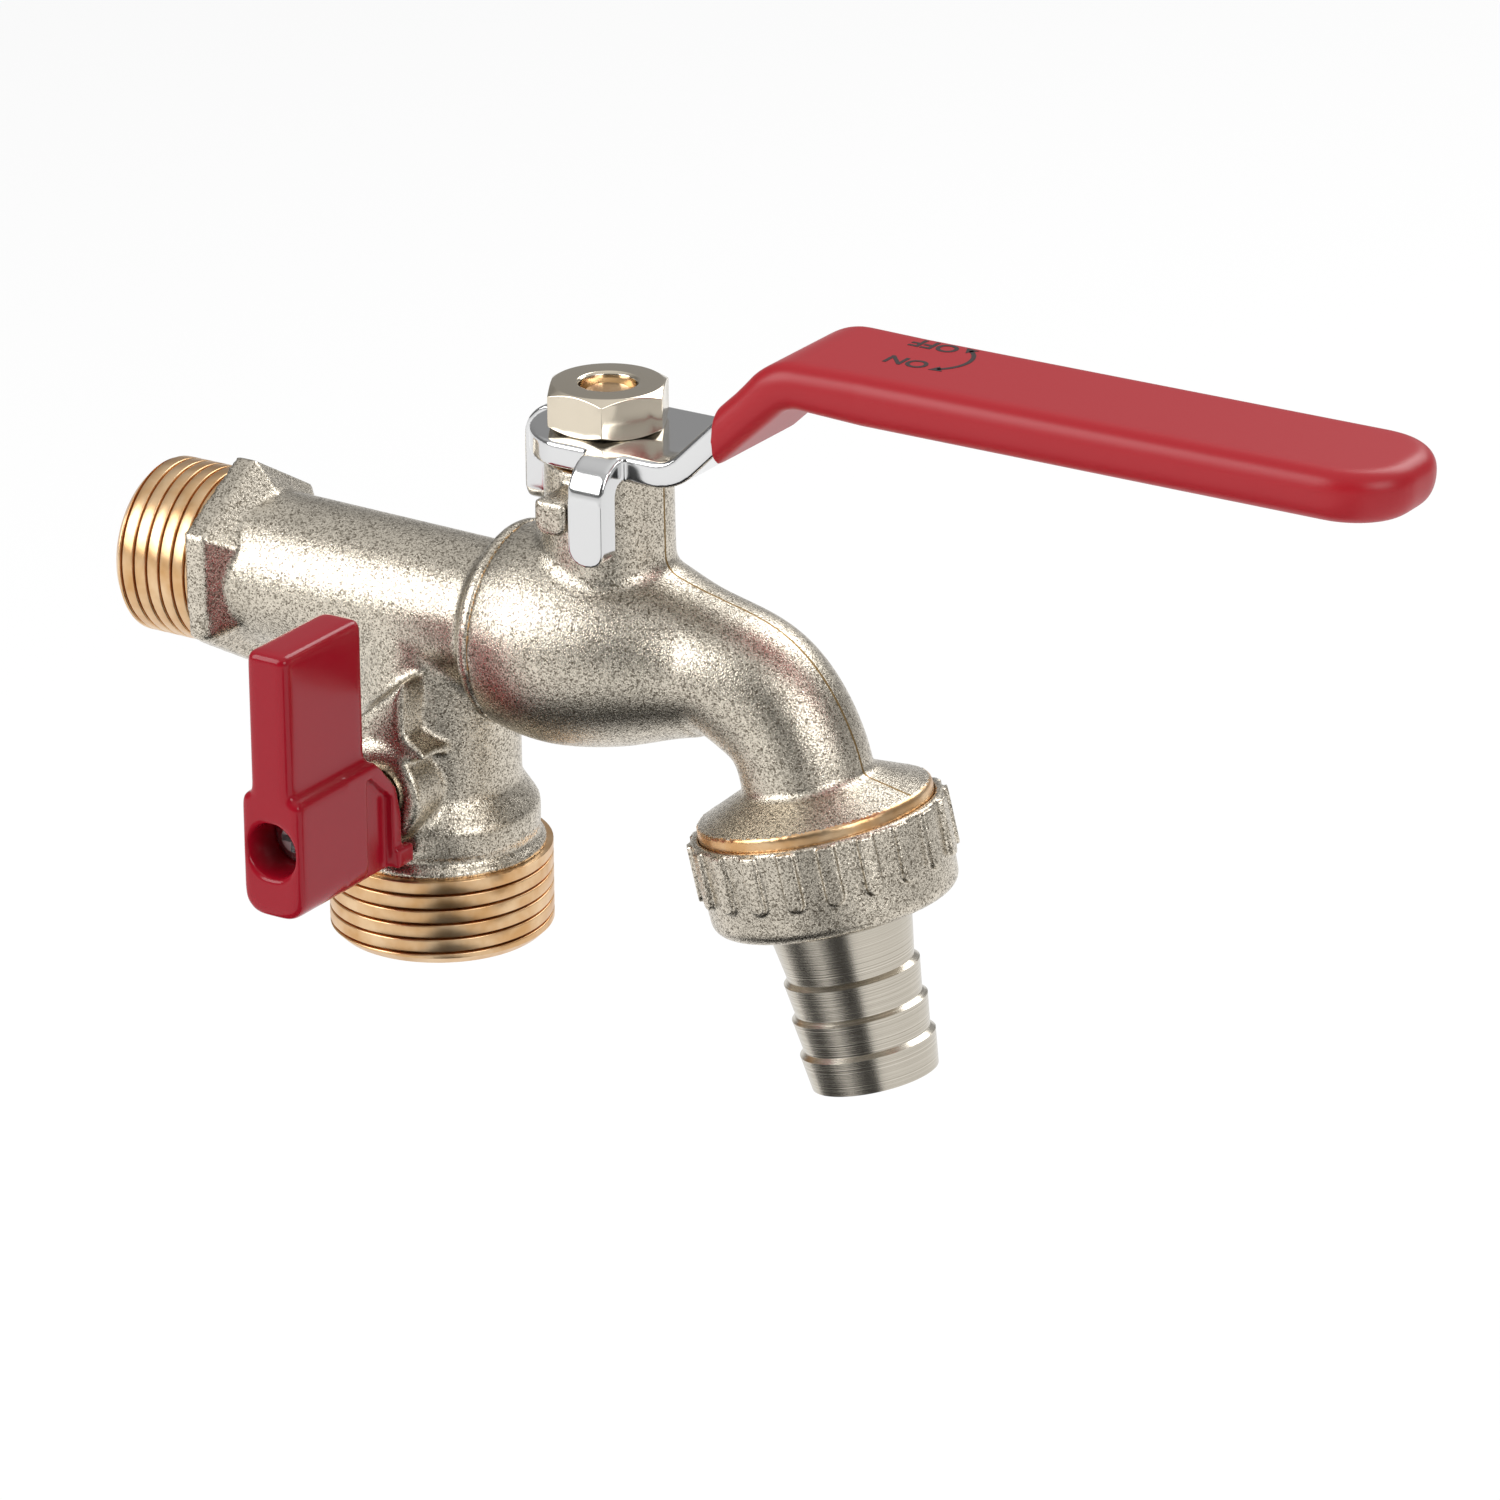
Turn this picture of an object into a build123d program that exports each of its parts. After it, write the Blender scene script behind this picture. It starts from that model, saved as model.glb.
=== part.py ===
# Double outlet garden tap: two quarter-turn ball valves in one wall-mounted brass body.
# Millimetres. Origin on the inlet axis at the wall shoulder of the hex collar,
# X out from the wall along the waterway, Z up, the small handle on the -Y side.
import os
from math import cos, radians, sin, sqrt, tan
from build123d import *

# Inlet thread and hex collar
inlet_thread_r = 10.4775
inlet_thread_len = 11.0
inlet_bore_r = 6.2
thread_chamfer = 0.8
hex_across_flats = 22.0
hex_width = 2.7

# Pipe and joint between the two body halves
pipe_r_wall = 9.2
pipe_r_joint = 8.6
joint_x = 40.5
joint_r = 12.1
joint_land = 1.4
joint_slope = 2.2
spigot_r = 9.6
bore_step = 4.0
waterway_r = 5.0

# Branch to the second outlet, straight down
branch_x = 27.9
branch_r = 9.7
branch_valve_z = -19.5
branch_foot_z = -10.0
branch_fillet = 2.4
branch_flare_r = 11.8
branch_flare_h = 3.2
branch_groove_r = 11.5
branch_groove_h = 0.8
branch_collar_r = 12.7
branch_thread_r = 13.2205
branch_thread_top = -29.7
branch_end_z = -40.2
branch_outlet_r = 10.0
retainer_lip = 1.1
retainer_slot = 2.0
retainer_slot_depth = 1.5
retainer_bore_gap = 0.4

# Branch valve
branch_ball_r = 7.4
branch_bore_share = 0.622
branch_seat_share = 0.878
branch_seat_depth_share = 0.243
branch_slot_share = 0.284
branch_chamber_gap = 0.5
branch_stem_r = 3.0
branch_flat_share = 0.72
branch_tongue_share = 0.9
branch_collar_stem_r = 3.9
branch_collar_h = 1.4
branch_washer_h = 0.7
boss_r = 6.0
boss_face_y = -13.2
stop_face_y = -12.5
stop_root_y = -4.0
stop_half = 3.8
stop_low_side = 8.0
stop_peak = 14.5
stop_nose_out = 6.6
stop_nose_h = 0.9

# Spout body, its valve and its bend
valve_x = 52.3
ball_r = 8.5
bore_share = 0.588
seat_share = 0.87
seat_depth_share = 0.176
slot_share = 0.26
chamber_gap = 0.5
seat_step = 0.8
belly_r = 12.9
belly_back = 5.5
belly_lip = 0.5
belly_fall = 0.6
shoulder_r = 11.2
shoulder_ahead = 4.7
spout_r = 7.6
spout_swell = 0.9
bend_ahead = 23.57
straight_end = 1.45
outlet_tilt = 14.5
outlet_len = 16.62

# Stem neck
neck_r_top = 7.35
neck_r_base = 7.7
neck_top_z = 22.6
neck_fillet = 2.4
stem_r = 5.0
stem_tongue_share = 0.7
stem_collar_r = 5.8
stem_collar_h = 1.8
thrust_washer_h = 0.8
stem_thread_r = 3.25
stem_flat = 2.5
stem_top_z = 30.4
lug_left = -1.65
lug_right = 2.5
lug_reach = 13.0
lug_low_z = 16.9
lug_top_z = 21.0
lug_corner_r = 1.6

# Lever
plate_t = 3.0
plate_bottom_z = 23.4
plate_w = 17.4
hub_r = 9.0
ramp_start = 13.8
ramp_run = 13.7
ramp_rise = 13.7
grip_end = 102.0
plate_bend_r = 6.0
tab_w = 4.8
tab_end_share = 0.45
tab_face_r = 13.0
tab_low_z = 14.0
near_tab_offset = 2.8
rear_tab_offset = 1.95
sleeve_coat = 0.9
sleeve_start = 19.6
sleeve_end_r = 8.0
sleeve_round_share = 0.46
nut_across_flats = 13.0
nut_h = 5.0
nut_turn = -2.5
nut_sink = 0.35
nut_chamfer_share = 0.15
nut_face_share = 0.485

# Small handle
handle_front_y = -33.6
handle_rear_y = -13.5
blade_rear_y = -18.3
blade_half = 2.8
base_half = 4.1
blade_top = 24.0
blade_foot = 6.6
base_drop = 8.2
base_corner_r = 2.6
blade_corner_r = 0.8
base_knee = 2.2
base_heel = -1.5
side_hollow = 1.2
hollow_rim = 0.9
finger_t = 1.4
finger_step = 0.5
finger_h = 2.3
finger_reach = 1.6
screw_hole_r = 3.3
screw_seat_y = -26.6
screw_head_r = 3.0
screw_head_h = 2.5
screw_r = 1.6
screw_len = 9.0
screw_gap = 0.3
screw_head_drop = 0.8
screw_top_share = 0.55
screw_floor_t = 1.1
stem_round_in = 0.5
recess_reach = 1.6
recess_half = 0.4
recess_depth = 1.4

# Outlet thread, union nut and hose tail, measured along the outlet axis
rim_r = 13.65
rim_start = -2.4
rim_step = 0.35
cone_fillet = 1.0
rim_end = 0.6
cone_start = -5.1
outlet_end = 5.0
union_top = -0.9
union_end = 10.3
union_r = 14.7
union_chamfer = 0.3
union_draft = 0.4
union_end_fillet = 1.6
union_rib_h = 0.45
union_rib_w = 2.0
union_rib_round_share = 0.45
union_rib_end = 6.2
union_ribs = 20
gasket_t = 1.5
gasket_r = 12.6
gasket_bore_gap = 0.4
tail_flange_r = 12.0
tail_flange_t = 2.0
tail_neck_r = 8.5
tail_bore_r = 5.6
tail_barb_r = 7.92
tail_root_r = 7.38
tail_first_barb = 17.4
tail_barb_pitch = 4.3
tail_barb_slope = 0.5
tail_end = 30.6

# Fits
run = 0.05
loose = 0.15
oring_t = 1.6

# Values that follow from the ones above
inlet_axis = Plane(origin=(0, 0, 0), x_dir=(0, 1, 0), z_dir=(1, 0, 0))
hex_r = hex_across_flats / sqrt(3)
belly_x = valve_x - belly_back
shoulder_x = valve_x + shoulder_ahead
bend_corner_x = valve_x + bend_ahead
tilt = radians(outlet_tilt)
outlet_turn = 90 - outlet_tilt
outlet_dir = Vector(sin(tilt), 0, -cos(tilt))
outlet_zero = Vector(bend_corner_x, 0, 0) + outlet_dir * outlet_len
outlet_plane = Plane(origin=outlet_zero, x_dir=(cos(tilt), 0, sin(tilt)), z_dir=outlet_dir)
bend_cut = outlet_len + cone_start - straight_end
bend_r = bend_cut / tan(radians(outlet_turn / 2))
bend_start_x = bend_corner_x - bend_cut
plate_top_z = plate_bottom_z + plate_t
plate_mid_z = plate_bottom_z + plate_t / 2
branch_ball_bore = branch_ball_r * branch_bore_share
branch_seat_face = branch_ball_r * branch_seat_share
branch_seat_depth = branch_ball_r * branch_seat_depth_share
branch_slot_floor = branch_ball_r * (1 - branch_slot_share)
branch_seat_top = branch_valve_z + branch_seat_face
branch_seat_low = branch_valve_z - branch_seat_face
chamber_branch_r = branch_ball_r + branch_chamber_gap
branch_groove_z = branch_thread_top + 2 * branch_groove_h
branch_flare_z = branch_groove_z + branch_groove_h + (branch_flare_r - branch_r) * 4 / 3
ball_bore = ball_r * bore_share
seat_face = ball_r * seat_share
seat_depth = ball_r * seat_depth_share
slot_floor = ball_r * (1 - slot_share)
chamber_r = ball_r + chamber_gap
seat_r = chamber_r - seat_step
stem_collar_z = ball_r + 2 * run
spigot_len = valve_x - seat_face - run - joint_x
finger_out = base_half + finger_step
gasket_end = outlet_end + gasket_t
flange_end = gasket_end + tail_flange_t


# Shape makers
def turned(points, plane, soft=()):
    """Solid of revolution about the plane's normal, from (distance, radius) points."""
    outline = [(radius, along) for along, radius in points]
    face = make_face(Polyline(*outline, close=True))
    for along, radius, size in soft:
        corner = face.vertices().sort_by_distance((radius, along, 0))[0]
        face = fillet(corner, size)
    return plane.location * revolve(Plane.XZ * face, Axis.Z)


def round_bar(plane, start, end, radius):
    """Plain cylinder along the plane's normal from start to end."""
    return turned([(start, 0), (start, radius), (end, radius), (end, 0)], plane)


def ring(plane, start, end, inner, outer):
    """Plain washer along the plane's normal from start to end."""
    return turned([(start, inner), (start, outer), (end, outer), (end, inner)], plane)


def ball_at(plane, along, radius):
    """Full sphere on the plane's normal."""
    return plane.location * Pos(0, 0, along) * Sphere(radius)


def sealing_ring(plane, along, centre_r, section_r):
    """Round-section ring about the plane's normal."""
    return plane.location * Pos(0, 0, along) * Torus(centre_r, section_r)


def block(plane, x_range, y_range, z_range):
    """Box between three ranges, in the plane's own directions."""
    size = [high - low for low, high in (x_range, y_range, z_range)]
    middle = [(low + high) / 2 for low, high in (x_range, y_range, z_range)]
    return plane.location * Pos(*middle) * Box(*size)


def plate(plane, points, start, end):
    """Prism over a closed outline, along the plane's normal from start to end."""
    face = make_face(Polyline(*points, close=True))
    return plane.location * Pos(0, 0, start) * extrude(face, end - start)


def double_d(plane, start, end, radius, flat):
    """Round bar with two parallel flats."""
    wide = (-2 * radius, 2 * radius)
    return round_bar(plane, start, end, radius) & block(plane, wide, (-flat, flat), (start, end))


def bent_strip(path, bend, thickness):
    """Face of a strip that follows a bent path, both sides parallel to it."""
    sides = []
    for hand in (1, -1):
        side = []
        radii = []
        for k, point in enumerate(path):
            here = Vector(*point)
            into = here - Vector(*path[k - 1]) if k else Vector(*path[1]) - here
            out = Vector(*path[k + 1]) - here if k < len(path) - 1 else into
            into = into.normalized()
            out = out.normalized()
            normal = Vector(-into.Y - out.Y, into.X + out.X).normalized()
            half = into.X * normal.Y - into.Y * normal.X
            side.append(here + normal * (hand * thickness / 2 / half))
            left_turn = into.X * out.Y - into.Y * out.X > 0
            radii.append(bend - hand * (1 if left_turn else -1) * thickness / 2)
        sides.append(FilletPolyline(*side, radius=radii[1:-1]))
    upper, lower = sides
    ends = [Line(upper @ 0, lower @ 0), Line(upper @ 1, lower @ 1)]
    return make_face([*upper.edges(), *lower.edges(), *ends])


# Planes that the pieces are drawn on
branch_up = Plane(origin=(branch_x, 0, 0), x_dir=(1, 0, 0), z_dir=(0, 0, 1))
stem_up = Plane(origin=(valve_x, 0, 0), x_dir=(1, 0, 0), z_dir=(0, 0, 1))
main_flow = Plane(origin=(valve_x, 0, 0), x_dir=(0, 1, 0), z_dir=(1, 0, 0))
handle_out = Plane(origin=(branch_x, 0, branch_valve_z), x_dir=(1, 0, 0), z_dir=(0, -1, 0))
handle_flats = Plane(origin=handle_out.origin, x_dir=(0, 0, 1), z_dir=(0, -1, 0))
handle_side = Plane(origin=(branch_x, 0, branch_valve_z), x_dir=(0, 1, 0), z_dir=(1, 0, 0))
lever_side = Plane(origin=(valve_x, 0, 0), x_dir=(1, 0, 0), z_dir=(0, -1, 0))
tab_side = Plane(origin=(valve_x, 0, 0), x_dir=(0, 1, 0), z_dir=(1, 0, 0))

parts = {}

# Tee body: inlet thread, hex collar, pipe, joint spigot and the branch with its boss
hex_face = inlet_axis.location * RegularPolygon(hex_r, 6, rotation=30)
hex_collar = extrude(hex_face, hex_width)
hex_back = Plane(origin=(hex_width, 0, 0), x_dir=(0, 1, 0), z_dir=(1, 0, 0))
hex_slope = hex_across_flats / 2 - pipe_r_wall * cos(radians(30)) + loose
hex_taper = extrude(hex_back.location * RegularPolygon(hex_r, 6, rotation=30), hex_slope, taper=45)
tee = turned([(0, 0), (0, pipe_r_wall), (joint_x, pipe_r_joint), (joint_x, 0)], inlet_axis)
tee = tee + turned(
    [
        (0, 0),
        (0, pipe_r_joint),
        (branch_foot_z, branch_r),
        (branch_flare_z + branch_flare_h, branch_r),
        (branch_flare_z, branch_flare_r),
        (branch_groove_z + branch_groove_h, branch_flare_r),
        (branch_groove_z, branch_groove_r),
        (branch_thread_top + loose, branch_collar_r),
        (branch_thread_top, branch_thread_r),
        (branch_end_z + thread_chamfer, branch_thread_r),
        (branch_end_z, branch_thread_r - thread_chamfer),
        (branch_end_z, 0),
    ],
    branch_up,
    soft=[(branch_flare_z + branch_flare_h, branch_r, branch_flare_h * 0.9),
          (branch_flare_z, branch_flare_r, branch_flare_h * 0.45)],
)
round_edges = (GeomType.LINE, GeomType.CIRCLE)
branch_foot = [edge for edge in tee.edges() if edge.geom_type not in round_edges]
tee = fillet(branch_foot, branch_fillet)
tee = tee + turned(
    [
        (-inlet_thread_len, 0),
        (-inlet_thread_len, inlet_thread_r - thread_chamfer),
        (thread_chamfer - inlet_thread_len, inlet_thread_r),
        (hex_width / 2, inlet_thread_r),
        (hex_width / 2, 0),
    ],
    inlet_axis,
)
collar_foot = joint_x - joint_land - joint_slope
tee = tee + turned(
    [
        (collar_foot - 2 * joint_slope, 0),
        (collar_foot - 2 * joint_slope, pipe_r_joint - loose),
        (collar_foot, pipe_r_joint - loose),
        (joint_x - joint_land, joint_r),
        (joint_x, joint_r),
        (joint_x, spigot_r - run),
        (joint_x + spigot_len, spigot_r - run),
        (joint_x + spigot_len, 0),
    ],
    inlet_axis,
    soft=[(collar_foot, pipe_r_joint - loose, joint_slope * 1.35),
          (joint_x - joint_land, joint_r, joint_land * 0.7)],
)
tee = tee + hex_collar + hex_taper
tee = tee + round_bar(handle_out, 0, -boss_face_y, boss_r)
nose_low = finger_out + loose
stop_block = [
    (-stop_half, 0),
    (-stop_half, stop_low_side),
    (stop_half, stop_peak),
    (stop_half, nose_low + 3 * stop_nose_h),
    (stop_nose_out, nose_low + stop_nose_h),
    (stop_nose_out, nose_low),
    (stop_half, nose_low),
    (stop_half, 0),
]
tee = tee + plate(handle_out, stop_block, -stop_root_y, -stop_face_y)
tee = tee - round_bar(inlet_axis, -inlet_thread_len, joint_x - bore_step, inlet_bore_r)
tee = tee - round_bar(inlet_axis, 0, joint_x + spigot_len, waterway_r)
tee = tee - round_bar(branch_up, 0, branch_seat_low, branch_ball_bore)
tee = tee - round_bar(branch_up, branch_seat_low, branch_seat_top, chamber_branch_r)
retainer_r = chamber_branch_r + retainer_lip
retainer_end = branch_thread_top - retainer_slot_depth
tee = tee - round_bar(branch_up, retainer_end, branch_seat_low, retainer_r + run)
tee = tee - round_bar(branch_up, branch_end_z, retainer_end, branch_outlet_r)
collar_start = branch_ball_r + 2 * run
collar_end = collar_start + branch_collar_h
branch_washer_top = collar_end + branch_washer_h
tee = tee - round_bar(handle_out, 0, branch_washer_top, branch_collar_stem_r + run)
tee = tee - round_bar(handle_out, 0, -boss_face_y, branch_stem_r + run)
parts["tee_body"] = tee

# Branch valve: seats, ball, screwed retainer, stem with its washer and sealing ring
branch_seat = ring(branch_up, branch_seat_top - branch_seat_depth, branch_seat_top,
                   branch_ball_bore + 2 * run, chamber_branch_r - run)
parts["branch_seat_upper"] = branch_seat - ball_at(branch_up, branch_valve_z, branch_ball_r + run)
branch_seat = ring(branch_up, branch_seat_low, branch_seat_low + branch_seat_depth,
                   branch_ball_bore + 2 * run, chamber_branch_r - run)
parts["branch_seat_lower"] = branch_seat - ball_at(branch_up, branch_valve_z, branch_ball_r + run)
retainer = ring(branch_up, retainer_end, branch_seat_low, branch_ball_bore + retainer_bore_gap, retainer_r)
slot = block(branch_up, (-retainer_r, retainer_r), (-retainer_slot / 2, retainer_slot / 2),
             (retainer_end, retainer_end + retainer_slot_depth))
parts["branch_seat_retainer"] = retainer - slot
branch_ball = ball_at(branch_up, branch_valve_z, branch_ball_r)
branch_ball = branch_ball - round_bar(branch_up, branch_valve_z - branch_ball_r,
                                      branch_valve_z + branch_ball_r, branch_ball_bore)
tongue_w = branch_stem_r * branch_tongue_share
branch_ball = branch_ball - block(handle_out, (-branch_ball_r, branch_ball_r),
                                  (-tongue_w / 2 - run, tongue_w / 2 + run),
                                  (branch_slot_floor, branch_ball_r))
parts["branch_ball"] = branch_ball
stem_end = -screw_seat_y - screw_floor_t
stem = round_bar(handle_out, collar_start, collar_end, branch_collar_stem_r)
stem = stem + block(handle_out, (-branch_stem_r, branch_stem_r), (-tongue_w / 2, tongue_w / 2),
                    (branch_slot_floor + 2 * run, collar_end))
stem = stem + round_bar(handle_out, collar_end, -handle_rear_y + stem_round_in, branch_stem_r)
stem = stem + double_d(handle_flats, collar_end, stem_end, branch_stem_r, branch_stem_r * branch_flat_share)
seal_y = (branch_washer_top - boss_face_y) / 2
small_seal_r = oring_t * 0.3
seal_centre = branch_stem_r - small_seal_r
stem = stem - ring(handle_out, seal_y - small_seal_r - run, seal_y + small_seal_r + run,
                   seal_centre - small_seal_r, branch_stem_r + oring_t)
screw_depth = -screw_seat_y - screw_len
stem = stem - round_bar(handle_out, screw_depth - screw_gap, stem_end, screw_r + run)
parts["branch_stem"] = stem
parts["branch_stem_seal"] = sealing_ring(handle_out, seal_y, seal_centre, small_seal_r)
parts["branch_thrust_washer"] = ring(handle_out, collar_end + run, branch_washer_top,
                                     branch_stem_r + run, branch_collar_stem_r)

# Small handle: upright blade on a block, thinned at the rear, and a stop finger
handle = block(handle_side, (handle_front_y, blade_rear_y), (0, blade_top), (-blade_half, blade_half))
handle = fillet(handle.edges().filter_by(Axis.Z), blade_corner_r)
handle = fillet(handle.edges().group_by(Axis.Z)[-1], blade_corner_r)
side = [
    (handle_front_y, -base_drop),
    (handle_front_y, blade_foot),
    (blade_rear_y, blade_foot),
    (handle_rear_y - hollow_rim, base_knee),
    (handle_rear_y, base_heel),
    (handle_rear_y, -base_drop),
]
base = plate(handle_side, side, -base_half, base_half)
base = fillet(base.edges().filter_by(Axis.Y).group_by(Axis.Z)[0], base_corner_r)
base = fillet(base.edges().filter_by(Axis.Y).group_by(Axis.Z)[-1], blade_corner_r)
base = fillet(base.edges().group_by(Axis.Y)[0], blade_corner_r * 0.7)
handle = handle + base
finger_low = finger_step - base_drop
handle = handle + block(handle_out, (finger_out - finger_t, finger_out), (finger_low, finger_low + finger_h),
                        (-handle_rear_y - finger_reach, -handle_rear_y + finger_reach))
hollow_front = blade_rear_y - 2 * hollow_rim
hollow = [
    (hollow_front, -base_drop - side_hollow),
    (hollow_front, blade_foot - 2 * hollow_rim),
    (hollow_front + hollow_rim, blade_foot - 2 * hollow_rim),
    (handle_rear_y - 2 * hollow_rim, base_knee - hollow_rim),
    (handle_rear_y - 2 * hollow_rim, -base_drop - side_hollow),
]
for side_start in (base_half - side_hollow, -base_half - side_hollow):
    handle = handle - plate(handle_side, hollow, side_start, side_start + 2 * side_hollow)
handle = handle - round_bar(handle_out, -screw_seat_y, -handle_front_y, screw_hole_r)
handle = handle - round_bar(handle_out, stem_end, -screw_seat_y, screw_r + screw_gap)
handle = handle - double_d(handle_flats, 0, stem_end + 2 * run, branch_stem_r + run,
                           branch_stem_r * branch_flat_share + run)
handle = handle - round_bar(handle_out, 0, -handle_rear_y + stem_round_in + 2 * run, branch_stem_r + run)
parts["branch_handle"] = handle
screw = turned(
    [
        (screw_depth, 0),
        (screw_depth, screw_r),
        (-screw_seat_y, screw_r),
        (-screw_seat_y, screw_head_r),
        (-screw_seat_y + screw_head_h - screw_head_drop, screw_head_r),
        (-screw_seat_y + screw_head_h, screw_head_r * screw_top_share),
        (-screw_seat_y + screw_head_h, 0),
    ],
    handle_out,
)
head_top = -screw_seat_y + screw_head_h
long_way = (-recess_reach, recess_reach)
short_way = (-recess_half, recess_half)
recess = block(handle_out, long_way, short_way, (head_top - recess_depth, head_top))
recess = recess + block(handle_out, short_way, long_way, (head_top - recess_depth, head_top))
parts["branch_handle_screw"] = screw - recess

# Spout body: belly with the valve chamber, neck, bend and the outlet rim with its thread
belly_out = spout_r + spout_swell
belly = Spline((joint_r, joint_x), (joint_r + belly_lip, joint_x + 5 * belly_lip), (belly_r, belly_x),
               (belly_r - belly_fall, valve_x), (shoulder_r, shoulder_x),
               (shoulder_r * 0.4 + belly_out * 0.6, shoulder_x * 0.45 + bend_start_x * 0.55),
               (belly_out, bend_start_x))
belly_end = [Line((0, joint_x), (joint_r, joint_x)), Line((belly_out, bend_start_x), (0, bend_start_x)),
             Line((0, bend_start_x), (0, joint_x))]
belly_face = make_face([belly.edge(), *belly_end])
spout = inlet_axis.location * revolve(Plane.XZ * belly_face, Axis.Z)
neck = turned([(0, 0), (0, neck_r_base), (neck_top_z, neck_r_top), (neck_top_z, 0)], stem_up)
spout = spout + neck
neck_foot = spout.edges().filter_by_position(Axis.Z, belly_r * 0.6, belly_r * 1.1)
neck_foot = neck_foot.filter_by_position(Axis.X, valve_x - neck_r_base * 1.1, valve_x + neck_r_base * 1.1)
spout = fillet(neck_foot, neck_fillet)
sections = []
pipe_end = cone_start - straight_end / 2
for share, growth in ((0, 1.0), (0.33, 0.45), (0.67, 0.06), (1.0, 0)):
    turn = radians(outlet_turn * share)
    centre = (bend_start_x + bend_r * sin(turn), 0, bend_r * (cos(turn) - 1))
    flat = Plane(origin=centre, x_dir=(0, 1, 0), z_dir=(cos(turn), 0, -sin(turn)))
    sections.append(flat.location * Circle(spout_r + spout_swell * growth))
flat = Plane(origin=outlet_zero + outlet_dir * pipe_end, x_dir=(0, 1, 0), z_dir=outlet_dir)
sections.append(flat.location * Circle(spout_r))
spout = spout + loft(sections)
spout = spout + turned(
    [
        (pipe_end, 0),
        (pipe_end, spout_r),
        (cone_start, spout_r),
        (rim_start, rim_r - rim_step),
        (rim_start, rim_r),
        (rim_end, rim_r),
        (rim_end, branch_thread_r),
        (outlet_end - thread_chamfer, branch_thread_r),
        (outlet_end, branch_thread_r - thread_chamfer),
        (outlet_end, 0),
    ],
    outlet_plane,
    soft=[(cone_start, spout_r, cone_fillet)],
)
lug = block(stem_up, (lug_left, lug_right), (-lug_reach, -(stem_r + neck_r_top) / 2), (lug_low_z, lug_top_z))
lug = fillet(lug.edges().filter_by(Axis.Y).group_by(Axis.Z)[0], lug_corner_r)
spout = spout + lug
seat_floor = valve_x + seat_face
spout = spout - round_bar(inlet_axis, joint_x, joint_x + spigot_len, spigot_r)
spout = spout - round_bar(inlet_axis, joint_x, seat_floor - seat_depth, chamber_r)
spout = spout - round_bar(inlet_axis, joint_x, seat_floor, seat_r)
way = Line((seat_floor - seat_depth, 0, 0), (bend_start_x, 0, 0))
way = way + JernArc((bend_start_x, 0), (1, 0), bend_r, -outlet_turn).moved(Location((0, 0, 0), (90, 0, 0)))
way = way + Line(way @ 1, outlet_zero + outlet_dir * (outlet_end + gasket_t))
start = Plane(origin=(seat_floor - seat_depth, 0, 0), x_dir=(0, 1, 0), z_dir=(1, 0, 0))
spout = spout - sweep(start.location * Circle(waterway_r), way)
washer_top = stem_collar_z + stem_collar_h + thrust_washer_h
spout = spout - round_bar(stem_up, 0, washer_top, stem_collar_r + run)
spout = spout - round_bar(stem_up, 0, neck_top_z, stem_r + run)
parts["spout_body"] = spout

# Main valve: seats, ball, stem with its washer and two sealing rings
seat = ring(main_flow, -seat_face, seat_depth - seat_face, ball_bore + 2 * run, chamber_r - run)
parts["main_seat_inlet"] = seat - ball_at(main_flow, 0, ball_r + run)
seat = ring(main_flow, seat_face - seat_depth, seat_face, ball_bore + 2 * run, seat_r - run)
parts["main_seat_outlet"] = seat - ball_at(main_flow, 0, ball_r + run)
ball = ball_at(main_flow, 0, ball_r) - round_bar(main_flow, -ball_r, ball_r, ball_bore)
main_tongue = stem_r * stem_tongue_share
ball = ball - block(stem_up, (-main_tongue / 2 - run, main_tongue / 2 + run), (-ball_r, ball_r),
                    (slot_floor, ball_r))
parts["main_ball"] = ball
main_stem = round_bar(stem_up, stem_collar_z, stem_collar_z + stem_collar_h, stem_collar_r)
main_stem = main_stem + block(stem_up, (-main_tongue / 2, main_tongue / 2), (-stem_r, stem_r),
                              (slot_floor + 2 * run, stem_collar_z + stem_collar_h))
main_stem = main_stem + round_bar(stem_up, stem_collar_z, plate_bottom_z, stem_r)
main_stem = main_stem + double_d(stem_up, plate_bottom_z, plate_top_z, stem_thread_r, stem_flat)
main_stem = main_stem + turned(
    [
        (plate_top_z, 0),
        (plate_top_z, stem_thread_r),
        (stem_top_z - thread_chamfer, stem_thread_r),
        (stem_top_z, stem_thread_r - thread_chamfer),
        (stem_top_z, 0),
    ],
    stem_up,
)
seal_r = oring_t / 2
seal_gap = (neck_top_z - washer_top) / 3
for name, step in (("main_stem_seal_lower", 1), ("main_stem_seal_upper", 2)):
    height = washer_top + seal_gap * step
    main_stem = main_stem - ring(stem_up, height - seal_r - run, height + seal_r + run,
                                 stem_r - oring_t, stem_r + oring_t)
    parts[name] = sealing_ring(stem_up, height, stem_r - seal_r, seal_r)
parts["main_stem"] = main_stem
parts["main_thrust_washer"] = ring(stem_up, stem_collar_z + stem_collar_h + run, washer_top,
                                   stem_r + run, stem_collar_r)

# Lever: cranked steel plate with two stop tabs, dipped sleeve and hub nut
grip_z = plate_mid_z + ramp_rise
lever_path = [(-hub_r, plate_mid_z), (ramp_start, plate_mid_z), (ramp_start + ramp_run, grip_z),
              (grip_end, grip_z)]
half_w = plate_w / 2
strip = bent_strip(lever_path, plate_bend_r, plate_t)
lever = lever_side.location * extrude(strip, half_w, both=True)
plan_end = stem_up.location * Pos(grip_end / 2, 0) * Rectangle(grip_end, plate_w)
plan_end = fillet(plan_end.vertices().group_by(Axis.X)[-1], sleeve_end_r - sleeve_coat)
plan = extrude(plan_end, grip_z * 2) + round_bar(stem_up, 0, grip_z * 2, hub_r)
lever = lever & plan
tab_path = [(-hub_r / 2, plate_mid_z), (plate_t / 2 - tab_face_r, plate_mid_z),
            (plate_t / 2 - tab_face_r, tab_low_z)]
tab_face = bent_strip(tab_path, plate_t, plate_t)
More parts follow.
